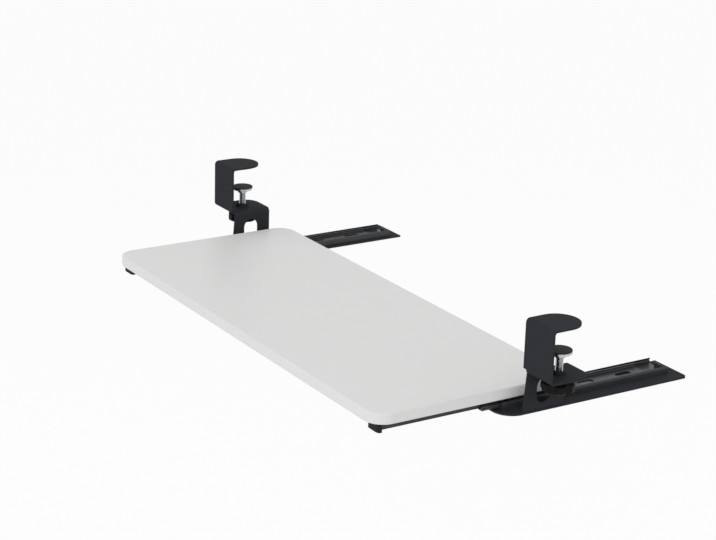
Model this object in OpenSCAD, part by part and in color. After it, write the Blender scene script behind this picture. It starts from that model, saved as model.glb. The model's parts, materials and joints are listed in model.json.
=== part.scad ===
// Clamp-on keyboard tray: a pale board on two telescopic slides, hung from a desk edge by two screw clamps.
// Origin: middle of the desk's front top edge. +X to the user's right, +Y into the desk, +Z up.

/* [Tray] */
// Width of the board
tray_w = 686; // [560:1:800]
// Depth of the board, front to back
tray_d = 280; // [240:1:320]
// Thickness of the board
tray_t = 15; // [12:0.5:20]
// Corner radius of the board seen from above
tray_corner_r = 25; // [12:1:40]
// Radius of the softened edges of the board
tray_edge_r = 2; // [1:0.5:4]
// How far the board's front edge stands ahead of the desk edge in the pulled-out pose
tray_reach = 199.8; // [180:0.1:240]
// Level of the board's top below the desk top
tray_drop = 89.2; // [84:0.1:110]

/* [Clamp bracket] */
// Thickness of the bent sheet
sheet_t = 2.5; // [2:0.5:3]
// Inside radius of the bends
bend_r = 3; // [1:0.5:4]
// Width of the tongue and strap
strap_w = 54.5; // [46:0.5:64]
// Gap between the board's side and the bracket's flange
side_gap = 17; // [12:0.5:26]
// Height from the desk top to the top of the bracket's bottom plate
jaw_h = 62.5; // [58:0.1:68]
// Reach of the tongue over the desk
tongue_l = 52; // [46:1:70]
// Depth of the bottom plate and flange, front to back
plate_d = 63; // [58:1:72]
// Radius of the bottom plate's free corner
plate_corner_r = 20; // [8:1:24]
// Width of the window in the flange
window_w = 23; // [16:0.5:28]
// Height of the window in the flange
window_h = 33; // [24:0.5:36]
// Distance from the bottom plate down to the window
window_drop = 11.2; // [8:0.1:14]
// How far the flange's front edge leans forward on its way down
flange_lean = 4; // [0:0.5:8]
// Thickness of the soft liner under the tongue
tongue_liner_t = 1.5; // [1:0.5:3]
// Margin of the liner inside the tongue's edge
liner_margin = 4; // [2:0.5:8]

/* [Carrier] */
// Length of the carrier plate that holds the slide
carrier_l = 285; // [275:1:320]
// How far the carrier reaches ahead of the desk edge
carrier_front = 27.5; // [22:0.5:40]
// Radius of the carrier's round front corner
carrier_corner_r = 26; // [8:1:30]
// Radius of the carrier's rear corner
carrier_rear_r = 6; // [2:1:12]
// How far the carrier reaches past the inner side of the slide
carrier_margin = 5; // [2:0.5:12]

/* [Clamp screw] */
// Outside diameter of the clamp screw
screw_d = 10; // [8:1:12]
// Radial running clearance of the screw and its pad
run_gap = 0.05; // [0.02:0.01:0.1]
// Radial gap round the screw in the bottom plate
plate_hole_gap = 0.5; // [0.3:0.1:1]
// Distance of the screw's axis behind the desk edge
screw_y = 29.7; // [26:0.1:36]
// Desk thickness that the clamp is closed on
desk_t = 32; // [28:1:34]
// Width across the flats of the welded nut
nut_af = 16; // [14:1:19]
// Height of the welded nut
nut_h = 4; // [3.5:0.5:7]
// Diameter of the pressure pad
pad_d = 30; // [24:1:36]
// Thickness of the pad's disc
pad_t = 3; // [2:0.5:4]
// Thickness of the pad's soft liner
pad_liner_t = 1.5; // [1:0.5:3]
// Diameter of the boss under the pad
boss_d = 15; // [13:0.5:18]
// Height of the boss under the pad
boss_h = 4.5; // [4:0.5:6]
// Diameter of the screw's tip inside the pad
tip_d = 7; // [5:0.5:7.5]
// Overall diameter of the knob
knob_d = 42; // [34:1:44]
// Height of the knob
knob_h = 11; // [9:0.5:16]
// Gap from the bottom plate down to the knob
knob_gap = 7.5; // [7:0.5:16]
// Count of the knob's lobes
knob_lobes = 6; // [5:1:8]
// Radius of the hollow between two lobes
scallop_r = 7; // [5:0.5:8]

/* [Slide] */
// Length of each rail
rail_l = 260; // [252:1:264]
// Width of the outer rail
rail_w = 38; // [36:0.5:42]
// Distance from the board's side edge to the outer rail's outer face
rail_inset = 0.5; // [0:0.5:8]
// Height from the carrier's top face to the board's underside
slide_h = 13; // [12.5:0.1:16]
// Sheet thickness of the rails
rail_t = 1.2; // [1:0.1:1.4]
// Diameter of the bearing balls
ball_d = 3.2; // [2.8:0.1:3.4]
// Clearance between a ball and its race
race_gap = 0.25; // [0.2:0.05:0.35]
// Height of the ball centres above the carrier's top face
ball_z = 6; // [5.8:0.1:6.2]
// Balls in each row
ball_count = 9; // [6:1:10]
// Length of each ball cage
cage_l = 110; // [90:1:114]
// Distance of the outer rail behind the carrier's front edge
outer_setback = 10; // [6:0.5:14]
// How far the middle rail stands ahead of the outer rail in the pulled-out pose
middle_out = 27; // [20:1:30]
// Distance of the outer cage behind the outer rail's front end
outer_cage_in = 63; // [56:1:70]
// Distance of the inner cage behind the middle rail's front end
inner_cage_in = 3; // [2:0.5:5]
// Length of the access slots in the middle rail's floor
access_l = 24; // [14:1:30]
// Width of the access slots in the middle rail's floor
access_w = 9; // [7:0.5:12]
// Diameter of the spare fixing holes in the rails
spare_d = 4.6; // [3.5:0.1:5.5]
// Height of the stop tab at the rear of the outer rail
tab_h = 6; // [4.5:0.5:7]
// Width of the stop tab at the rear of the outer rail
tab_w = 14; // [8:0.5:18]
// Thickness of the front stop
stop_t = 6; // [4:0.5:8]
// Distance of the front stop behind the board's front edge
stop_setback = 9; // [4:0.5:12]
// Width of the front stop
stop_w = 25; // [21:0.5:28]
// Radius of the front stop's corners
stop_corner_r = 5; // [2:0.5:8]

/* [Fasteners] */
// Shank diameter of the rivets that hold the outer rail
rivet_d = 4; // [3:0.5:5]
// Head height of the rivets
rivet_head_h = 1.6; // [1.2:0.1:2.2]
// Shank diameter of the wood screws in the board
wood_screw_d = 3.5; // [3:0.5:4]
// Depth of the wood screws in the board
wood_screw_l = 10; // [8:0.5:11]
// Head height of the wood screws
wood_head_h = 2; // [1.6:0.1:2.6]
// Clearance round the fasteners
fastener_gap = 0.05; // [0.05:0.05:0.2]

/* [Hidden] */
$fn = 64;
cut = 1;
seam = 0.3;

strap_in = tray_w / 2 + side_gap;
strap_out = strap_in + strap_w;
strap_mid = strap_in + strap_w / 2;
plate_top = -jaw_h;
plate_bottom = plate_top - sheet_t;
tongue_bottom = tongue_liner_t;
tray_bottom = -tray_drop - tray_t;
carrier_top = tray_bottom - slide_h;
carrier_bottom = carrier_top - sheet_t;
flange_out = strap_in + sheet_t;
tray_front = -tray_reach;

rail_mid = tray_w / 2 - rail_inset - rail_w / 2;
ball_r = ball_d / 2;
race_r = ball_r + race_gap;
lip_reach = 0.8;
face_gap = 1;
groove = race_r - face_gap;
outer_ball_x = rail_w / 2 - rail_t - race_r;
middle_wall_out = outer_ball_x - face_gap;
middle_wall_in = middle_wall_out - 2 * groove - rail_t;
inner_ball_x = middle_wall_in - face_gap;
inner_wall_out = inner_ball_x - face_gap;
inner_wall_in = inner_wall_out - groove - rail_t;
cage_t = 0.8;
cage_floor_t = 0.4;
cage_hole_gap = 0.1;
cage_reach = 2.2;
race_half = 1.6;
middle_floor = rail_t + cage_floor_t + 2 * seam;
inner_low = middle_floor + rail_t + cage_floor_t + 2 * seam;
outer_front = outer_setback - carrier_front;
middle_front = outer_front - middle_out;
inner_front = tray_front + stop_setback + stop_t;
outer_cage_front = outer_front + outer_cage_in;
inner_cage_front = middle_front + inner_cage_in;
middle_l = rail_l - rail_t - seam;

pad_top = -desk_t - pad_liner_t;
boss_bottom = pad_top - pad_t - boss_h;
screw_r = screw_d / 2 - run_gap;
knob_top = plate_bottom - knob_gap;
screw_in_knob = knob_h / 2;
window_top = plate_bottom - window_drop;
rivet_head_d = 2 * rivet_d;
wood_head_d = 2 * wood_screw_d;
spare_l = 3 * spare_d;
fastener_spots = [0.1, 0.5, 0.9];
spare_spots = [0.22, 0.38, 0.62, 0.78];
access_spots = [0.12, 0.35, 0.65, 0.88];

black = [0.09, 0.09, 0.1];
steel = [0.72, 0.73, 0.75];
rail_black = [0.13, 0.13, 0.14];
board_white = [0.86, 0.86, 0.85];
rubber = [0.05, 0.05, 0.05];

// The left end is the mirror image of the right end.
module left() mirror([1, 0, 0]) children();

// Quarter of a ring between two radii, in the first quadrant, turned by whole quarters.
module quarter_ring(r_in, r_out, turn = 0) rotate(90 * turn) difference() {
  intersection() {
    circle(r_out);
    square(r_out);
  }
  circle(r_in);
}

// A drawing in the YZ plane, extruded along +X.
module along_x(length) rotate([90, 0, 90]) linear_extrude(length) children();

// A drawing in the XZ plane, extruded along +Y.
module along_y(length) translate([0, length, 0]) rotate([90, 0, 0]) linear_extrude(length) children();

// Rectangle with its corners rounded.
module round_square(w, d, r) {
  translate([r, 0]) square([w - 2 * r, d]);
  translate([0, r]) square([w, d - 2 * r]);
  for (x = [r, w - r], y = [r, d - r]) translate([x, y]) circle(r);
}

// Section through the board's softened edge, measured outwards from a corner's centre.
module edge_section() {
  square([tray_corner_r - tray_edge_r, tray_t]);
  translate([0, tray_edge_r]) square([tray_corner_r, tray_t - 2 * tray_edge_r]);
  for (z = [tray_edge_r, tray_t - tray_edge_r])
    translate([tray_corner_r - tray_edge_r, z]) circle(tray_edge_r);
}

// Board with round corners and softened edges, its lower front left corner at the origin.
module soft_board() {
  r = tray_corner_r;
  translate([r, r, 0]) cube([tray_w - 2 * r, tray_d - 2 * r, tray_t]);
  for (corner = [[r, r, 180], [tray_w - r, r, 270], [tray_w - r, tray_d - r, 0], [r, tray_d - r, 90]])
    translate([corner[0], corner[1], 0]) rotate(corner[2]) rotate_extrude(angle = 90) edge_section();
  for (side = [[tray_w - r, tray_d - r, 0, tray_d], [r, tray_d - r, 90, tray_w],
               [r, r, 180, tray_d], [tray_w - r, r, 270, tray_w]])
    translate([side[0], side[1], 0]) rotate([90, 0, side[2]]) linear_extrude(side[3] - 2 * r) edge_section();
}

module tray_board() color(board_white) difference() {
  translate([-tray_w / 2, tray_front, tray_bottom]) soft_board();
  for (side = [-1, 1], spot = fastener_spots)
    translate([side * rail_mid, inner_front + spot * rail_l, tray_bottom - cut])
      cylinder(d = wood_screw_d + 2 * fastener_gap, h = wood_screw_l + fastener_gap + cut);
}

// Side view of tongue, strap and bottom plate: one sheet with two bends.
module clamp_section() {
  r_out = bend_r + sheet_t;
  translate([bend_r, tongue_bottom]) square([tongue_l - bend_r, sheet_t]);
  translate([bend_r, tongue_bottom - bend_r]) quarter_ring(bend_r, r_out, 1);
  translate([-sheet_t, plate_top + bend_r])
    square([sheet_t, tongue_bottom - plate_top - 2 * bend_r]);
  translate([bend_r, plate_top + bend_r]) quarter_ring(bend_r, r_out, 2);
  translate([bend_r, plate_bottom]) square([plate_d - sheet_t - bend_r, sheet_t]);
}

// Front view of the flange with the bend from the plate above and to the carrier below.
module flange_section() {
  r_out = bend_r + sheet_t;
  translate([strap_in + r_out, plate_bottom]) square([bend_r, sheet_t]);
  translate([strap_in + r_out, plate_bottom - bend_r]) quarter_ring(bend_r, r_out, 1);
  translate([strap_in, carrier_top + bend_r])
    square([sheet_t, plate_bottom - bend_r - carrier_top - bend_r]);
  translate([strap_in - bend_r, carrier_top + bend_r]) quarter_ring(bend_r, r_out, 3);
}

// Outline of the tongue and plate from above: half-round tongue tip, one round plate corner.
module tongue_outline(margin = 0) {
  tip_r = strap_w / 2;
  translate([strap_in + margin, -sheet_t - cut])
    square([strap_w - 2 * margin, tongue_l - tip_r + sheet_t + cut]);
  translate([strap_mid, tongue_l - tip_r]) circle(tip_r - margin);
}

module plate_outline() {
  inner_edge = strap_in + bend_r + sheet_t;
  width = strap_out - inner_edge;
  translate([inner_edge, -sheet_t - cut]) square([width, plate_d + cut - plate_corner_r]);
  translate([inner_edge, -sheet_t]) square([width - plate_corner_r, plate_d]);
  translate([strap_out - plate_corner_r, plate_d - sheet_t - plate_corner_r]) circle(plate_corner_r);
}

module carrier_outline() {
  inner_edge = rail_mid - rail_w / 2 - carrier_margin;
  width = flange_out - inner_edge;
  r = carrier_corner_r;
  rear_r = carrier_rear_r;
  translate([inner_edge, -carrier_front]) difference() {
    square([width, carrier_l]);
    translate([width - r, 0]) square(r);
    translate([width - rear_r, carrier_l - rear_r]) square(rear_r + cut);
  }
  translate([flange_out - r, -carrier_front + r]) circle(r);
  translate([flange_out - rear_r, carrier_l - carrier_front - rear_r]) circle(rear_r);
}

// Side view of the flange: its front edge leans forward towards the carrier.
module flange_outline() {
  rear = plate_d - sheet_t;
  lean_top = plate_bottom - bend_r;
  polygon([
    [bend_r, plate_top + cut], [rear, plate_top + cut], [rear, carrier_bottom - cut],
    [bend_r - flange_lean, carrier_bottom - cut], [bend_r - flange_lean, carrier_top], [bend_r, lean_top]
  ]);
}

// Oblong with round ends, standing in the YZ plane.
module window_outline() {
  r = window_w / 2;
  translate([screw_y, window_top - window_h]) {
    translate([-r, r]) square([window_w, window_h - 2 * r]);
    for (z = [r, window_h - r]) translate([0, z]) circle(r);
  }
}

module clamp_bracket() color(black) difference() {
  union() {
    intersection() {
      translate([strap_in, 0, 0]) along_x(strap_w) clamp_section();
      union() {
        translate([0, 0, plate_top + bend_r]) linear_extrude(jaw_h * 2) tongue_outline();
        translate([0, 0, plate_bottom - cut]) linear_extrude(sheet_t + bend_r + cut) plate_outline();
      }
    }
    intersection() {
      translate([0, bend_r - flange_lean, 0])
        along_y(plate_d - sheet_t - bend_r + flange_lean) flange_section();
      translate([strap_in - bend_r - cut, 0, 0]) along_x(strap_w) flange_outline();
    }
    translate([0, 0, carrier_bottom]) linear_extrude(sheet_t) carrier_outline();
  }
  translate([strap_in - cut, 0, 0]) along_x(sheet_t + 2 * cut) window_outline();
  translate([strap_mid, screw_y, plate_bottom - cut])
    cylinder(d = screw_d + 2 * plate_hole_gap, h = sheet_t + 2 * cut);
  rivet_places() translate([0, 0, carrier_bottom - cut])
    cylinder(d = rivet_d + 2 * fastener_gap, h = sheet_t + 2 * cut);
}

module tongue_liner() color(rubber)
  linear_extrude(tongue_liner_t) intersection() {
    tongue_outline(liner_margin);
    translate([strap_in, liner_margin]) square([strap_w, tongue_l]);
  }

module rivet_places() for (spot = fastener_spots)
  translate([rail_mid, outer_front + spot * rail_l, 0]) children();

module weld_nut() color(steel) translate([strap_mid, screw_y, plate_top]) difference() {
  cylinder(d = nut_af / cos(30), h = nut_h, $fn = 6);
  translate([0, 0, -cut]) cylinder(d = screw_d, h = nut_h + 2 * cut);
}

module clamp_screw() color(steel) translate([strap_mid, screw_y, 0]) {
  low = knob_top - screw_in_knob;
  translate([0, 0, low]) cylinder(r = screw_r, h = boss_bottom - seam - low);
  translate([0, 0, boss_bottom - seam]) cylinder(d = tip_d - 2 * run_gap, h = boss_h + seam);
}

// Lobed knob: a scalloped outline under a crowned profile, with a blind hole for the screw.
module clamp_knob() color(black) translate([strap_mid, screw_y, knob_top - knob_h]) difference() {
  intersection() {
    linear_extrude(knob_h) difference() {
      circle(d = knob_d);
      for (i = [0 : knob_lobes - 1])
        rotate(i * 360 / knob_lobes) translate([knob_d / 2 + scallop_r / 2, 0]) circle(scallop_r);
    }
    rotate_extrude() knob_profile();
  }
  translate([0, 0, knob_h - screw_in_knob]) cylinder(r = screw_r + fastener_gap, h = knob_h);
}

module knob_profile() {
  r = knob_h / 4;
  edge = knob_d / 2 - r;
  square([edge, knob_h]);
  translate([0, r]) square([knob_d / 2, knob_h - 2 * r]);
  for (z = [r, knob_h - r]) translate([edge, z]) circle(r);
}

module pressure_pad() color(steel) translate([strap_mid, screw_y, boss_bottom]) difference() {
  union() {
    cylinder(d = boss_d, h = boss_h);
    translate([0, 0, boss_h]) cylinder(d = pad_d, h = pad_t);
  }
  translate([0, 0, -cut]) cylinder(d = tip_d, h = boss_h + seam + cut);
}

module pad_liner() color(rubber)
  translate([strap_mid, screw_y, pad_top]) cylinder(d = pad_d, h = pad_liner_t);

// Both halves of a rail's section, mirrored about its middle.
module both_edges() {
  children();
  mirror([1, 0]) children();
}

module outer_section() {
  both_edges() {
    square([outer_ball_x + race_r, rail_t]);
    translate([outer_ball_x + race_r, 0]) square([rail_t, ball_z]);
    intersection() {
      translate([outer_ball_x, ball_z]) difference() {
        circle(race_r + rail_t);
        circle(race_r);
      }
      translate([outer_ball_x + lip_reach, 0]) square([rail_w, 2 * slide_h]);
    }
  }
}

module middle_section() {
  both_edges() difference() {
    union() {
      translate([0, middle_floor]) square([middle_wall_out, rail_t]);
      translate([middle_wall_in, middle_floor])
        square([middle_wall_out - middle_wall_in, ball_z + race_half - middle_floor]);
    }
    for (x = [outer_ball_x, inner_ball_x]) translate([x, ball_z]) circle(race_r);
  }
}

module inner_section() {
  both_edges() difference() {
    union() {
      translate([0, slide_h - rail_t]) square([inner_wall_out, rail_t]);
      translate([inner_wall_in, inner_low]) square([inner_wall_out - inner_wall_in, slide_h - inner_low]);
    }
    translate([inner_ball_x, ball_z]) circle(race_r);
  }
}

module cage_section(ball_x, floor_z) {
  both_edges() {
    translate([0, floor_z]) square([ball_x + cage_t / 2, cage_floor_t]);
    translate([ball_x - cage_t / 2, floor_z]) square([cage_t, ball_z + cage_reach - floor_z]);
  }
}

// A section of the slide, run back from a given front end at the slide's own place.
module rail(front, length) translate([rail_mid, front, carrier_top]) along_y(length) children();

// A flat slot with round ends along +Y, cut down through a rail's web at a given level.
module web_slot(y, length, width, level)
  translate([rail_mid, y, level - cut]) linear_extrude(rail_t + 2 * cut) {
    for (end = [-1, 1]) translate([0, end * (length - width) / 2]) circle(d = width);
    square([width, length - width], center = true);
  }

module outer_rail() color(rail_black) difference() {
  union() {
    rail(outer_front, rail_l) outer_section();
    translate([rail_mid - tab_w / 2, outer_front + rail_l - rail_t, carrier_top])
      cube([tab_w, rail_t, tab_h]);
  }
  for (spot = spare_spots) web_slot(outer_front + spot * rail_l, spare_l, spare_d, carrier_top);
  rivet_places() translate([0, 0, carrier_top - cut])
    cylinder(d = rivet_d + 2 * fastener_gap, h = rail_t + 2 * cut);
}

module middle_rail() color(rail_black) difference() {
  rail(middle_front, middle_l) middle_section();
  for (spot = access_spots)
    web_slot(middle_front + spot * rail_l, access_l, access_w, carrier_top + middle_floor);
}

module inner_rail() color(rail_black) difference() {
  rail(inner_front, rail_l) inner_section();
  for (spot = spare_spots) web_slot(inner_front + spot * rail_l, spare_l, spare_d, tray_bottom - rail_t);
  for (spot = fastener_spots) translate([rail_mid, inner_front + spot * rail_l, tray_bottom - rail_t - cut])
    cylinder(d = wood_screw_d + 2 * fastener_gap, h = rail_t + 2 * cut);
}

// Places of the balls in a cage: two rows, evenly spread along it.
module ball_places(ball_x, front) {
  pitch = cage_l / ball_count;
  for (side = [-1, 1], i = [0 : ball_count - 1])
    translate([rail_mid + side * ball_x, front + (i + 0.5) * pitch, carrier_top + ball_z]) children();
}

module cage(ball_x, front, floor_z) color(steel) difference() {
  rail(front, cage_l) cage_section(ball_x, floor_z);
  ball_places(ball_x, front) rotate([0, 90, 0])
    cylinder(r = ball_r + cage_hole_gap, h = 2 * cage_t, center = true);
}

module balls(ball_x, front) color(steel) ball_places(ball_x, front) sphere(d = ball_d);

module outer_cage() cage(outer_ball_x, outer_cage_front, rail_t + seam);

module outer_balls() balls(outer_ball_x, outer_cage_front);

module inner_cage() cage(inner_ball_x, inner_cage_front, middle_floor + rail_t + seam);

module inner_balls() balls(inner_ball_x, inner_cage_front);

module rail_rivets() color(rail_black) rivet_places() {
  translate([0, 0, carrier_bottom]) cylinder(d = rivet_d, h = sheet_t + rail_t);
  translate([0, 0, carrier_bottom - rivet_head_h]) cylinder(d = rivet_head_d, h = rivet_head_h);
}

module front_stop() color(rubber)
  translate([rail_mid - stop_w / 2, inner_front - stop_t, carrier_top + rail_t + seam])
    linear_extrude(slide_h - rail_t - seam) difference() {
      round_square(stop_w, stop_t + 2 * stop_corner_r, stop_corner_r);
      translate([-cut, stop_t]) square([stop_w + 2 * cut, 3 * stop_corner_r]);
    }

module tray_screws() color(steel) for (spot = fastener_spots)
  translate([rail_mid, inner_front + spot * rail_l, tray_bottom - rail_t]) {
    cylinder(d = wood_screw_d, h = wood_screw_l + rail_t);
    translate([0, 0, -wood_head_h]) cylinder(d = wood_head_d, h = wood_head_h);
  }

tray_board();
left() clamp_bracket();  // left_clamp_bracket
clamp_bracket();  // right_clamp_bracket
left() tongue_liner();  // left_tongue_liner
tongue_liner();  // right_tongue_liner
left() weld_nut();  // left_weld_nut
weld_nut();  // right_weld_nut
left() clamp_screw();  // left_clamp_screw
clamp_screw();  // right_clamp_screw
left() clamp_knob();  // left_clamp_knob
clamp_knob();  // right_clamp_knob
left() pressure_pad();  // left_pressure_pad
pressure_pad();  // right_pressure_pad
left() pad_liner();  // left_pad_liner
pad_liner();  // right_pad_liner
left() outer_rail();  // left_outer_rail
outer_rail();  // right_outer_rail
left() rail_rivets();  // left_rail_rivets
rail_rivets();  // right_rail_rivets
left() outer_cage();  // left_outer_cage
outer_cage();  // right_outer_cage
left() outer_balls();  // left_outer_balls
outer_balls();  // right_outer_balls
left() middle_rail();  // left_middle_rail
middle_rail();  // right_middle_rail
left() inner_cage();  // left_inner_cage
inner_cage();  // right_inner_cage
left() inner_balls();  // left_inner_balls
inner_balls();  // right_inner_balls
left() inner_rail();  // left_inner_rail
inner_rail();  // right_inner_rail
left() front_stop();  // left_front_stop
front_stop();  // right_front_stop
left() tray_screws();  // left_tray_screws
tray_screws();  // right_tray_screws
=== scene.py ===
import json
import math
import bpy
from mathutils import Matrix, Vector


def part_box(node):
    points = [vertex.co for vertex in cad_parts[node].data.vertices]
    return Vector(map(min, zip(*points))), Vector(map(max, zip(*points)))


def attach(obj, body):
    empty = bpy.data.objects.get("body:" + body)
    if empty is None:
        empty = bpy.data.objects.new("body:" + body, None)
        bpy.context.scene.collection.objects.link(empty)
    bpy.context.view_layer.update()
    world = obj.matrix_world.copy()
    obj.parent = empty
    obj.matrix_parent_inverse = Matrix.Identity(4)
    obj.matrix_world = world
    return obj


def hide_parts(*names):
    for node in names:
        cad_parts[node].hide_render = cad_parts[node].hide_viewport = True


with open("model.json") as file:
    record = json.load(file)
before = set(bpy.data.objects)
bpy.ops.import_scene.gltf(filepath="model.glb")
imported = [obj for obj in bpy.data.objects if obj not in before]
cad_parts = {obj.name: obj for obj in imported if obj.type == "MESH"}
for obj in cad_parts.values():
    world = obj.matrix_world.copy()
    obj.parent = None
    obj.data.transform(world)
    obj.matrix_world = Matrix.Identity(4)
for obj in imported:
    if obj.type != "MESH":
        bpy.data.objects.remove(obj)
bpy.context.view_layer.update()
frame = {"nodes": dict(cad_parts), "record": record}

from types import SimpleNamespace
import bpy
from mathutils import Matrix, Vector

scene = bpy.context.scene
sides = ("left", "right")
mm = 0.001
near = 0.01 * mm  # places closer than this count as one
edgeAngle = 35  # degrees: a sharper edge is broken and stays crisp
normalWeight = 90  # how far large faces lead the smoothing
slotOf = {part["node"]: part["material_slot"] for part in frame["record"]["subparts"]}
bodyOf = {node: body for body, nodes in frame["record"]["behaviour"]["bodies"].items() for node in nodes}


# selecting, editing and modifying

def deselectAll():
    if bpy.context.object and bpy.context.object.mode != "OBJECT":
        bpy.ops.object.mode_set(mode="OBJECT")
    bpy.ops.object.select_all(action="DESELECT")


def makeActive(piece):
    deselectAll()
    piece.select_set(True)
    bpy.context.view_layer.objects.active = piece


def editAll(piece):
    makeActive(piece)
    bpy.ops.object.mode_set(mode="EDIT")
    bpy.ops.mesh.select_all(action="SELECT")


def endEdit():
    bpy.ops.object.mode_set(mode="OBJECT")


def selectEdges(piece, test):
    # picks edges by the places of their two ends, then goes to edit mode
    makeActive(piece)
    bpy.ops.object.mode_set(mode="EDIT")
    bpy.ops.mesh.select_mode(type="EDGE")
    bpy.ops.mesh.select_all(action="DESELECT")
    endEdit()
    points = piece.data.vertices
    for edge in piece.data.edges:
        first, second = (points[i].co for i in edge.vertices)
        edge.select = test(first, second)
    bpy.ops.object.mode_set(mode="EDIT")


def applyModifier(piece, kind, **settings):
    makeActive(piece)
    bpy.ops.object.modifier_add(type=kind)
    modifier = piece.modifiers[-1]
    for key, value in settings.items():
        setattr(modifier, key, value)
    bpy.ops.object.modifier_apply(modifier=modifier.name)


def smoothFaces(piece, angle=edgeAngle):
    makeActive(piece)
    bpy.ops.object.shade_smooth_by_angle(angle=math.radians(angle))
    applyModifier(piece, "WEIGHTED_NORMAL", keep_sharp=True, weight=normalWeight)


def settle(piece, name):
    # the place goes into the mesh and the object sits at the origin
    makeActive(piece)
    bpy.ops.object.transform_apply(location=True, rotation=True, scale=True)
    piece.name = name
    piece.data.name = name
    return piece


def addShape(primitive, name, scale=(1, 1, 1), turn=0, **settings):
    # a primitive to start from, at its size and place
    deselectAll()
    primitive(**settings)
    piece = bpy.context.object
    piece.scale = scale
    piece.rotation_euler = (0, 0, turn)
    return settle(piece, name)


def joinPieces(pieces):
    deselectAll()
    for piece in pieces:
        piece.select_set(True)
    bpy.context.view_layer.objects.active = pieces[0]
    bpy.ops.object.join()
    return bpy.context.object


def cutWith(piece, tool, operation):
    applyModifier(piece, "BOOLEAN", operation=operation, object=tool, solver="EXACT")
    bpy.data.objects.remove(tool)


def cutLevel(piece, level, keepAbove):
    # one flat cut, closed with a face
    editAll(piece)
    bpy.ops.mesh.bisect(plane_co=(0, 0, level), plane_no=(0, 0, 1), use_fill=True,
                        clear_inner=keepAbove, clear_outer=not keepAbove)
    endEdit()


def boxOf(nodeName):
    low, high = (Vector(corner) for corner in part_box(nodeName))
    return SimpleNamespace(low=low, high=high, middle=(low + high) / 2, size=high - low)


# shader maths on wrapped sockets

objectPlace = 3  # Texture Coordinate's Object output
mixSockets = dict(factor=0, first=6, second=7, result=2)  # a Mix node's colour sockets
plainSockets = dict(shine="Specular IOR Level", metal="Metallic")
neutral = (1, 1, 1)
white = (1, 1, 1, 1)


class Wire:
    def __init__(self, tree, socket=None):
        self.tree = tree
        self.socket = socket

    def make(self, kind, settings=None, sockets=None, out=0):
        node = self.tree.nodes.new(kind)
        for key, value in (settings or {}).items():
            setattr(node, key, value)
        for key, value in (sockets or {}).items():
            if isinstance(value, Wire):
                self.tree.links.new(value.socket, node.inputs[key])
            else:
                node.inputs[key].default_value = value
        return Wire(self.tree, node.outputs[out])

    def maths(self, operation, first, second):
        return self.make("ShaderNodeMath", {"operation": operation}, {0: first, 1: second})

    def __add__(self, other):
        return self.maths("ADD", self, other)

    __radd__ = __add__

    def __sub__(self, other):
        return self.maths("SUBTRACT", self, other)

    def __rsub__(self, other):
        return self.maths("SUBTRACT", other, self)

    def __mul__(self, other):
        return self.maths("MULTIPLY", self, other)

    __rmul__ = __mul__

    def blend(self, first, second):
        # this value mixes two colours
        colours = {mixSockets["factor"]: self, mixSockets["first"]: first, mixSockets["second"]: second}
        return self.make("ShaderNodeMix", {"data_type": "RGBA"}, colours, mixSockets["result"])


def startMaterial(name):
    material = bpy.data.materials.new(name)
    material.use_nodes = True
    tree = material.node_tree
    shader = tree.nodes["Principled BSDF"]
    wires = Wire(tree)
    place = wires.make("ShaderNodeTexCoord", out=objectPlace)
    return material, shader, wires, place


def noise(wires, place, scale=1.0, detail=2.0, roughness=0.5, stretch=None):
    if stretch:
        place = wires.make("ShaderNodeMapping", None, {"Vector": place, "Scale": stretch})
    return wires.make("ShaderNodeTexNoise", None,
                      {"Vector": place, "Scale": scale, "Detail": detail, "Roughness": roughness})


def noises(wires, place, look, *names):
    return [noise(wires, place, **look[name]) for name in names]


def cellPattern(wires, place, scale):
    return wires.make("ShaderNodeTexVoronoi", None, {"Vector": place, "Scale": scale})


def swing(pattern, amount, middle=0.5):
    # a pattern's rise and fall about its middle
    return amount * (pattern - middle)


def shades(look):
    # the dark and the light end of a finish, each in its tint
    ends = []
    for end in ("dark", "light"):
        tint = look.get(end + "Tint", neutral)
        ends.append((look[end] * tint[0], look[end] * tint[1], look[end] * tint[2], 1))
    return ends


def finishMaterial(wires, shader, look, colour, roughness, height):
    # what varies is linked; what is the same all over goes on the shader's own sockets
    bump = wires.make("ShaderNodeBump", None,
                      {"Height": height, "Distance": look["depth"], "Strength": look["bump"]})
    for key, value in (("Base Color", colour), ("Roughness", roughness), ("Normal", bump)):
        wires.tree.links.new(value.socket, shader.inputs[key])
    for key, socketName in plainSockets.items():
        if key in look:
            shader.inputs[socketName].default_value = look[key]


boardLook = dict(light=0.695, dark=0.665, lightTint=(1, 1, 0.99), darkTint=(1, 1, 0.995),
                 mottle=dict(scale=38, detail=5, roughness=0.6), grain=dict(scale=1500),
                 speck=dict(scale=555, detail=3), gloss=0.42, speckGloss=0.12, mottleGloss=0.05,
                 speckBump=0.6, depth=0.02 * mm, bump=0.7)


def makeBoardLaminate(look):
    # pale satin laminate: faint mottle, fine press grain
    material, shader, wires, place = startMaterial("paleLaminate")
    mottle, grain, speck = noises(wires, place, look, "mottle", "grain", "speck")
    colour = mottle.blend(*shades(look))
    roughness = look["gloss"] + swing(speck, look["speckGloss"]) + swing(mottle, look["mottleGloss"])
    finishMaterial(wires, shader, look, colour, roughness, grain + look["speckBump"] * speck)
    return material


coatTint = (0.92, 1.0, 1.12)
coatLook = dict(light=0.043, dark=0.018, lightTint=coatTint, darkTint=coatTint,
                grain=dict(scale=1500, detail=3, roughness=0.65), wave=dict(scale=420),
                cloud=dict(scale=45, detail=4), grainShade=0.7, cloudShade=0.3, gloss=0.6,
                grainGloss=0.16, cloudGloss=0.08, waveBump=0.8, depth=0.06 * mm, bump=0.55, shine=0.015)


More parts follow.
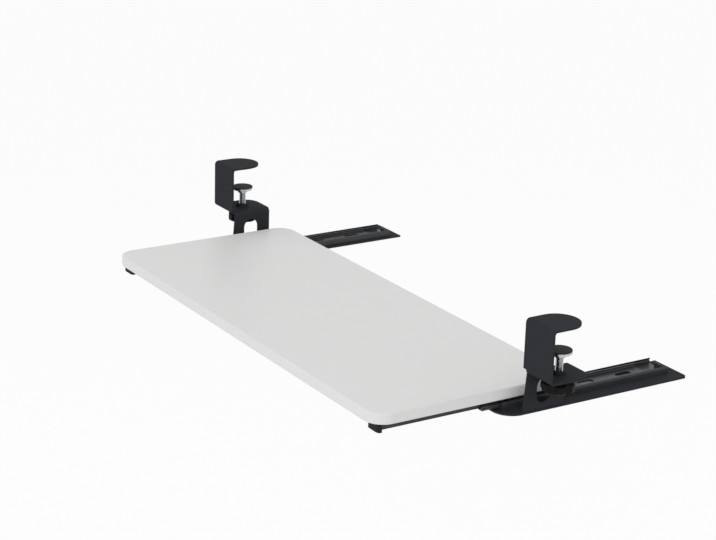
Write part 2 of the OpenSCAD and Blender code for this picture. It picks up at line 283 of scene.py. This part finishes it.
def makePowderCoat(look):
    # fine sandy powder coat with slow waves in the film
    material, shader, wires, place = startMaterial("blackPowderCoat")
    grain, wave, cloud = noises(wires, place, look, "grain", "wave", "cloud")
    speckle = look["grainShade"] * grain + look["cloudShade"] * cloud
    colour = speckle.blend(*shades(look))
    roughness = look["gloss"] + swing(grain, look["grainGloss"]) + swing(cloud, look["cloudGloss"])
    finishMaterial(wires, shader, look, colour, roughness, grain + look["waveBump"] * wave)
    return material


railTint = (0.95, 0.99, 1.07)
railLook = dict(light=0.042, dark=0.030, lightTint=railTint, darkTint=railTint,
                lines=dict(stretch=(1400, 12, 1400), detail=3), film=dict(scale=60, detail=4),
                gloss=0.34, linesGloss=0.2, filmGloss=0.1, depth=0.02 * mm, bump=0.5, shine=0.3)
zincLook = dict(light=0.66, dark=0.50, lightTint=(0.99, 1, 1.02), darkTint=(0.98, 1, 1.03),
                lines=dict(stretch=(90, 90, 2600)), film=dict(scale=260, detail=4),
                gloss=0.27, linesGloss=0.18, filmGloss=0.12, depth=0.012 * mm, bump=0.6, metal=1.0)
stripLook = dict(light=0.24, dark=0.13, darkTint=(1, 0.98, 0.94),
                 lines=dict(stretch=(900, 30, 900), detail=3), film=dict(scale=140, detail=3),
                 gloss=0.36, linesGloss=0.2, filmGloss=-0.14, depth=0.01 * mm, bump=0.5, metal=0.95)


def makeLinedSteel(name, look):
    # fine lines left by drawing, turning or rolling, under a cloudy film of coat, zinc or grease
    material, shader, wires, place = startMaterial(name)
    lines, film = noises(wires, place, look, "lines", "film")
    colour = film.blend(*shades(look))
    roughness = look["gloss"] + swing(lines, look["linesGloss"]) + swing(film, look["filmGloss"])
    finishMaterial(wires, shader, look, colour, roughness, lines)
    return material


ballLook = dict(light=0.74, dark=0.60, darkTint=(1, 0.99, 0.96), film=dict(scale=700, detail=3),
                gloss=0.12, filmGloss=0.1, depth=0.004 * mm, bump=0.4, metal=1.0)


def makePolishedBall(look):
    # polished bearing steel with an uneven oil film
    material, shader, wires, place = startMaterial("polishedBall")
    film = noise(wires, place, **look["film"])
    roughness = look["gloss"] + swing(film, look["filmGloss"])
    finishMaterial(wires, shader, look, film.blend(*shades(look)), roughness, film)
    return material


knobLook = dict(light=0.007, dark=0.004, lightTint=(0.98, 1, 1.03), cellScale=1300, cellMiddle=0.4,
                fine=dict(scale=2210), flow=dict(scale=70, detail=3), gloss=0.5, cellGloss=0.2,
                flowGloss=0.08, fineBump=0.5, depth=0.05 * mm, bump=0.5, shine=0.12)


def makeMouldedPlastic(look):
    # black moulded plastic with a spark-eroded grain
    material, shader, wires, place = startMaterial("mouldedPlastic")
    cells = cellPattern(wires, place, look["cellScale"])
    fine, flow = noises(wires, place, look, "fine", "flow")
    colour = flow.blend(*shades(look))
    pits = swing(cells, look["cellGloss"], look["cellMiddle"])
    roughness = look["gloss"] + pits + swing(flow, look["flowGloss"])
    finishMaterial(wires, shader, look, colour, roughness, cells + look["fineBump"] * fine)
    return material


foamLook = dict(light=0.030, dark=0.014, cellScale=1100, cloud=dict(scale=210, detail=3), gloss=0.88,
                cloudGloss=0.08, depth=0.18 * mm, bump=0.8)


def makeFoam(look):
    # dense closed-cell foam: open pores on a matt skin
    material, shader, wires, place = startMaterial("closedCellFoam")
    cells = cellPattern(wires, place, look["cellScale"])
    cloud = noise(wires, place, **look["cloud"])
    roughness = look["gloss"] + swing(cloud, look["cloudGloss"])
    finishMaterial(wires, shader, look, cells.blend(*shades(look)), roughness, cells)
    return material


rubberLook = dict(light=0.014, dark=0.008, lightTint=(1, 1, 0.98), bloom=dict(scale=120, detail=4),
                  grain=dict(scale=950, detail=3, roughness=0.6), gloss=0.66, grainGloss=0.14,
                  bloomGloss=0.1, depth=0.04 * mm, bump=0.6, shine=0.2)


def makeRubber(look):
    # moulded rubber with a dusty bloom
    material, shader, wires, place = startMaterial("mouldedRubber")
    grain, bloom = noises(wires, place, look, "grain", "bloom")
    colour = bloom.blend(*shades(look))
    roughness = look["gloss"] + swing(grain, look["grainGloss"]) + swing(bloom, look["bloomGloss"])
    finishMaterial(wires, shader, look, colour, roughness, grain)
    return material


finishes = dict(
    board=makeBoardLaminate(boardLook),
    bracket=makePowderCoat(coatLook),
    rail=makeLinedSteel("blackRailCoat", railLook),
    zinc=makeLinedSteel("brightZinc", zincLook),
    cage=makeLinedSteel("rolledStrip", stripLook),
    ball=makePolishedBall(ballLook),
    knob=makeMouldedPlastic(knobLook),
    liner=makeFoam(foamLook),
    stop=makeRubber(rubberLook),
)
for nodeName, cadNode in frame["nodes"].items():
    cadNode.data.materials.clear()
    cadNode.data.materials.append(finishes[slotOf[nodeName]])
print("materials set on", len(frame["nodes"]), "nodes")


def dress(piece, nodeName):
    # the piece stands in for its node, with the node's body, slot and finish
    body = bodyOf[nodeName]
    slotName = slotOf[nodeName]
    piece.data.materials.clear()
    piece.data.materials.append(finishes[slotName])
    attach(piece, body)
    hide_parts(nodeName)


# softened skins over the sheet and moulded nodes

edgeBreaks = dict(clamp_bracket=0.35 * mm, tongue_liner=0.4 * mm, pressure_pad=0.5 * mm, pad_liner=0.4 * mm,
                  clamp_knob=0.8 * mm, outer_rail=0.15 * mm, middle_rail=0.15 * mm, inner_rail=0.15 * mm,
                  outer_cage=0.06 * mm, inner_cage=0.06 * mm, front_stop=0.8 * mm, rail_rivets=0.7 * mm)
skinShape = dict(weld=0.002 * mm, flatAngle=0.4, fineWidth=0.3 * mm, fineSteps=2, wideSteps=3)


def makeSkin(nodeName, width, shape):
    # a merged copy of a node's mesh with its sharp edges broken
    source = frame["nodes"][nodeName]
    skin = bpy.data.objects.new(nodeName + "_skin", source.data.copy())
    scene.collection.objects.link(skin)
    skin.matrix_world = Matrix.Identity(4)
    makeActive(skin)
    if skin.data.has_custom_normals:
        bpy.ops.mesh.customdata_custom_splitnormals_clear()
    editAll(skin)
    bpy.ops.mesh.remove_doubles(threshold=shape["weld"])
    bpy.ops.mesh.dissolve_limited(angle_limit=math.radians(shape["flatAngle"]))
    endEdit()
    steps = shape["wideSteps"] if width > shape["fineWidth"] else shape["fineSteps"]
    applyModifier(skin, "BEVEL", width=width, segments=steps, limit_method="ANGLE",
                  angle_limit=math.radians(edgeAngle), use_clamp_overlap=True)
    smoothFaces(skin)
    dress(skin, nodeName)


for side in sides:
    for kind, breakWidth in edgeBreaks.items():
        makeSkin(side + "_" + kind, breakWidth, skinShape)
print("skins made")


# pieces modelled whole

trayShape = dict(cornerRadius=25 * mm, cornerSteps=14, edgeRadius=2 * mm, edgeSteps=4)


def makeTrayBoard(shape):
    # a panel with round corners, then its upper and lower edges eased
    box = boxOf("tray_board")
    board = addShape(bpy.ops.mesh.primitive_cube_add, "tray_board_panel", box.size, size=1,
                     location=box.middle)
    selectEdges(board, lambda a, b: abs(a.z - b.z) > near)
    bpy.ops.mesh.bevel(offset=shape["cornerRadius"], segments=shape["cornerSteps"], affect="EDGES")
    selectEdges(board, lambda a, b: abs(a.z - b.z) < near)
    bpy.ops.mesh.bevel(offset=shape["edgeRadius"], segments=shape["edgeSteps"], affect="EDGES")
    endEdit()
    smoothFaces(board)
    dress(board, "tray_board")


# rootEnds and crest are shares of one pitch
screwShape = dict(pitch=1.5 * mm, depth=0.85 * mm, steps=28, spareTurns=2, rootEnds=(0.16, 0.90),
                  crest=(0.46, 0.60), tipRadius=3.45 * mm, tipLength=4.8 * mm, tipSides=40,
                  tipEdge=0.5 * mm, tipEdgeSteps=2, weld=0.001 * mm, smoothAngle=28)


def makeClampScrew(side, shape):
    # one pitch of the thread is run up the axis, cut flat at both ends and given its tip
    nodeName = side + "_clamp_screw"
    box = boxOf(nodeName)
    pitch = shape["pitch"]
    top = box.high.z - shape["tipLength"]
    outer = box.size.x / 2
    inner = outer - shape["depth"]
    rise, fall = shape["rootEnds"]
    crestLow, crestHigh = shape["crest"]
    profile = ((inner, 0), (inner, rise), (outer, crestLow), (outer, crestHigh), (inner, fall), (inner, 1))
    mesh = bpy.data.meshes.new(nodeName)
    mesh.from_pydata([(r, 0, z * pitch) for r, z in profile],
                     [(i, i + 1) for i in range(len(profile) - 1)], [])
    rod = bpy.data.objects.new(nodeName, mesh)
    scene.collection.objects.link(rod)
    turns = math.ceil((top - box.low.z) / pitch) + 2 * shape["spareTurns"]
    applyModifier(rod, "SCREW", axis="Z", angle=2 * math.pi, screw_offset=pitch, iterations=turns,
                  steps=shape["steps"], render_steps=shape["steps"], use_merge_vertices=True,
                  merge_threshold=shape["weld"], use_normal_calculate=True)
    rod.location = (box.middle.x, box.middle.y, box.low.z - shape["spareTurns"] * pitch)
    settle(rod, nodeName + "_threaded")
    cutLevel(rod, box.low.z, keepAbove=True)
    cutLevel(rod, top, keepAbove=False)
    tip = addShape(bpy.ops.mesh.primitive_cylinder_add, nodeName + "_tip", vertices=shape["tipSides"],
                   radius=shape["tipRadius"], depth=shape["tipLength"],
                   location=(box.middle.x, box.middle.y, top + shape["tipLength"] / 2))
    applyModifier(tip, "BEVEL", width=shape["tipEdge"], segments=shape["tipEdgeSteps"],
                  limit_method="ANGLE")
    rod = joinPieces([rod, tip])
    editAll(rod)
    bpy.ops.mesh.remove_doubles(threshold=shape["weld"])
    bpy.ops.mesh.normals_make_consistent(inside=False)
    endEdit()
    smoothFaces(rod, shape["smoothAngle"])
    dress(rod, nodeName)


# coneRise and boreReach are counted in heights of the nut
nutShape = dict(sides=6, topFraction=0.96, coneAngle=60, coneRise=8, coneSides=72, boreGap=0.1 * mm,
                boreReach=3, boreSides=48, edge=0.2 * mm, edgeSteps=2, edgeAngle=25, tacks=3,
                tackSize=(2.6 * mm, 1.3 * mm, 1.2 * mm), tackRise=0.2 * mm, tackSteps=4,
                lumpSize=1.1 * mm, lumpDepth=0.5 * mm, smoothAngle=30)


def makeWeldNut(side, shape):
    # chamfered hexagon with its bore and short weld tacks along alternate flats
    nodeName = side + "_weld_nut"
    box = boxOf(nodeName)
    height = box.size.z
    acrossFlats = min(box.size.x, box.size.y)
    acrossCorners = max(box.size.x, box.size.y)
    halfFlat = math.pi / shape["sides"]
    turn = 0 if box.size.y > box.size.x else halfFlat
    nut = addShape(bpy.ops.mesh.primitive_cylinder_add, nodeName + "_chamfered", turn=turn,
                   vertices=shape["sides"], radius=acrossCorners / 2, depth=height, location=box.middle)
    rise = shape["coneRise"] * height
    topRadius = acrossFlats / 2 * shape["topFraction"]
    lowRadius = topRadius + math.tan(math.radians(shape["coneAngle"])) * rise
    cone = addShape(bpy.ops.mesh.primitive_cone_add, nodeName + "_cone", vertices=shape["coneSides"],
                    radius1=lowRadius, radius2=topRadius, depth=rise,
                    location=(box.middle.x, box.middle.y, box.high.z - rise / 2))
    cutWith(nut, cone, "INTERSECT")
    boreRadius = boxOf(side + "_clamp_screw").size.x / 2 + shape["boreGap"]
    bore = addShape(bpy.ops.mesh.primitive_cylinder_add, nodeName + "_bore", vertices=shape["boreSides"],
                    radius=boreRadius, depth=shape["boreReach"] * height, location=box.middle)
    cutWith(nut, bore, "DIFFERENCE")
    applyModifier(nut, "BEVEL", width=shape["edge"], segments=shape["edgeSteps"], limit_method="ANGLE",
                  angle_limit=math.radians(shape["edgeAngle"]))
    parts = [nut]
    foot = Vector((box.middle.x, box.middle.y, box.low.z + shape["tackRise"]))
    for i in range(shape["tacks"]):
        angle = turn + halfFlat + 2 * math.pi * i / shape["tacks"] + math.pi / 2
        outwards = Vector((math.cos(angle), math.sin(angle), 0))
        tack = addShape(bpy.ops.mesh.primitive_ico_sphere_add, nodeName + "_tack", shape["tackSize"],
                        angle + math.pi / 2, subdivisions=shape["tackSteps"], radius=1,
                        location=foot + outwards * acrossFlats / 2)
        lumps = bpy.data.textures.new(nodeName + "_lumps", "CLOUDS")
        lumps.noise_scale = shape["lumpSize"]
        applyModifier(tack, "DISPLACE", texture=lumps, texture_coords="LOCAL", strength=shape["lumpDepth"])
        cutLevel(tack, box.low.z, keepAbove=True)
        parts.append(tack)
    nut = joinPieces(parts)
    smoothFaces(nut, shape["smoothAngle"])
    dress(nut, nodeName)


woodScrewShape = dict(count=3, headHeight=2 * mm, headRadius=3.5 * mm, headSides=48, domeFraction=0.6,
                      domeSteps=5, crossWidth=0.9 * mm, crossLength=4.0 * mm, crossDepth=1.2 * mm,
                      crossTaper=0.72, shankRadius=1.75 * mm, shankSides=24, pointLength=3.85 * mm,
                      pointFraction=0.08, smoothAngle=30)


def makeWoodScrew(name, height, shape):
    # domed pan head with a cross recess below, pointed shank above
    headHeight = shape["headHeight"]
    head = addShape(bpy.ops.mesh.primitive_cylinder_add, name + "_head", vertices=shape["headSides"],
                    radius=shape["headRadius"], depth=headHeight, location=(0, 0, headHeight / 2))
    selectEdges(head, lambda a, b: max(a.z, b.z) < near)
    bpy.ops.mesh.bevel(offset=headHeight * shape["domeFraction"], segments=shape["domeSteps"],
                       affect="EDGES")
    endEdit()
    bladeSize = (shape["crossLength"], shape["crossWidth"], 2 * shape["crossDepth"])
    for turn in (0, math.pi / 2):
        blade = addShape(bpy.ops.mesh.primitive_cube_add, name + "_blade", bladeSize, turn, size=1)
        selectEdges(blade, lambda a, b: min(a.z, b.z) > 0)
        bpy.ops.mesh.select_mode(type="FACE")
        bpy.ops.transform.resize(value=(shape["crossTaper"], shape["crossTaper"], 1))
        endEdit()
        cutWith(head, blade, "DIFFERENCE")
    point = shape["pointLength"]
    straight = height - headHeight - point
    shank = addShape(bpy.ops.mesh.primitive_cylinder_add, name + "_shank", vertices=shape["shankSides"],
                     radius=shape["shankRadius"], depth=straight,
                     location=(0, 0, headHeight + straight / 2))
    selectEdges(shank, lambda a, b: min(a.z, b.z) > headHeight + near)
    bpy.ops.mesh.extrude_region_move(TRANSFORM_OT_translate={"value": (0, 0, point)})
    bpy.ops.transform.resize(value=(shape["pointFraction"], shape["pointFraction"], 1))
    endEdit()
    screw = joinPieces([head, shank])
    smoothFaces(screw, shape["smoothAngle"])
    return screw


def makeTrayScrews(side, shape):
    # one screw is modelled and copied along the rail
    nodeName = side + "_tray_screws"
    box = boxOf(nodeName)
    first = makeWoodScrew(nodeName, box.size.z, shape)
    start = box.low.y + shape["headRadius"]
    spacing = (box.size.y - 2 * shape["headRadius"]) / (shape["count"] - 1)
    copies = []
    for i in range(shape["count"]):
        copy = first.copy()
        copy.data = first.data.copy()
        scene.collection.objects.link(copy)
        copy.location = (box.middle.x, start + i * spacing, box.low.z)
        copies.append(settle(copy, nodeName + "_copy"))
    bpy.data.objects.remove(first)
    screws = settle(joinPieces(copies), nodeName + "_crossed")
    dress(screws, nodeName)


makeTrayBoard(trayShape)
for side in sides:
    makeClampScrew(side, screwShape)
    makeWeldNut(side, nutShape)
    makeTrayScrews(side, woodScrewShape)
print("whole pieces made")


# camera at the photograph's angle

photoView = dict(place=(2.1344, -1.3781, 0.8038), azimuth=57.334, pitch=18.463, roll=1.729,
                 focalPixels=2010.27, imageWidth=716, sensor=36.0)


def makeCamera(view):
    azimuth, pitch, roll = (math.radians(view[key]) for key in ("azimuth", "pitch", "roll"))
    level = math.cos(pitch)
    back = Vector((math.sin(azimuth) * level, -math.cos(azimuth) * level, math.sin(pitch)))
    right = Vector((math.cos(azimuth), math.sin(azimuth), 0))
    up = back.cross(right)
    tiltedRight = right * math.cos(roll) + up * math.sin(roll)
    tiltedUp = up * math.cos(roll) - right * math.sin(roll)
    data = bpy.data.cameras.new("photoCamera")
    data.sensor_fit = "HORIZONTAL"
    data.sensor_width = view["sensor"]
    data.lens = view["focalPixels"] * view["sensor"] / view["imageWidth"]
    camera = bpy.data.objects.new("photoCamera", data)
    scene.collection.objects.link(camera)
    turn = Matrix((tiltedRight, tiltedUp, back)).transposed().to_4x4()
    camera.matrix_world = Matrix.Translation(view["place"]) @ turn
    scene.camera = camera


makeCamera(photoView)


# pale floor, white surround and soft lamps

floorLook = dict(level=-0.72, width=16, light=0.84, dark=0.82, cloud=dict(scale=6), gloss=0.6,
                 cloudGloss=0.05, depth=0.01 * mm, bump=1.0, whiteShare=0.9)


def lightPaths(wires, *rays):
    return [wires.make("ShaderNodeLightPath", out="Is " + ray + " Ray") for ray in rays]


def makeFloor(look):
    # white where it is seen or mirrored, with a share of its own shade left for shadows
    floor = addShape(bpy.ops.mesh.primitive_plane_add, "floor", size=look["width"],
                     location=(0, 0, look["level"]))
    material, shader, wires, place = startMaterial("paleFloor")
    cloud = noise(wires, place, **look["cloud"])
    roughness = look["gloss"] + look["cloudGloss"] * cloud
    finishMaterial(wires, shader, look, cloud.blend(*shades(look)), roughness, cloud)
    glow = wires.make("ShaderNodeEmission", None, {"Color": white, "Strength": 1.0})
    camera, glossy = lightPaths(wires, "Camera", "Glossy")
    share = wires.maths("MAXIMUM", camera, glossy) * look["whiteShare"]
    plain = Wire(wires.tree, shader.outputs[0])
    mix = wires.make("ShaderNodeMixShader", None, {0: share, 1: plain, 2: glow})
    wires.tree.links.new(mix.socket, wires.tree.nodes["Material Output"].inputs["Surface"])
    floor.data.materials.append(material)


surroundLook = dict(strength=0.76, glossShare=0.75)


def makeSurround(look):
    # white where it is seen, with a weaker light on the part
    world = bpy.data.worlds.new("paleSurround")
    scene.world = world
    world.use_nodes = True
    wires = Wire(world.node_tree)
    camera, glossy, through = lightPaths(wires, "Camera", "Glossy", "Transmission")
    seen = wires.maths("MAXIMUM", wires.maths("MAXIMUM", camera, glossy * look["glossShare"]), through)
    strength = look["strength"] + seen * (1 - look["strength"])
    background = world.node_tree.nodes["Background"]
    background.inputs["Color"].default_value = white
    world.node_tree.links.new(strength.socket, background.inputs["Strength"])


lampAim = (0, 0, -0.1)
lampSets = dict(
    key=dict(place=(1.6, -2.0, 0.9), size=1.6, watts=20),
    fill=dict(place=(-1.4, -1.9, 0.8), size=1.8, watts=8),
    rim=dict(place=(0.4, 1.9, 1.5), size=1.6, watts=8),
)


def makeLamp(name, look):
    deselectAll()
    bpy.ops.object.light_add(type="AREA", location=look["place"])
    lamp = bpy.context.object
    lamp.name = name + "Lamp"
    lamp.data.shape = "DISK"
    lamp.data.size = look["size"]
    lamp.data.energy = look["watts"]
    lamp.visible_glossy = False  # soft light only, with no glare on pale faces
    lamp.rotation_euler = (Vector(lampAim) - Vector(look["place"])).to_track_quat("-Z", "Y").to_euler()


makeFloor(floorLook)
makeSurround(surroundLook)
for lampName, lampLook in lampSets.items():
    makeLamp(lampName, lampLook)
scene.view_settings.view_transform = "Standard"
print("stage set")
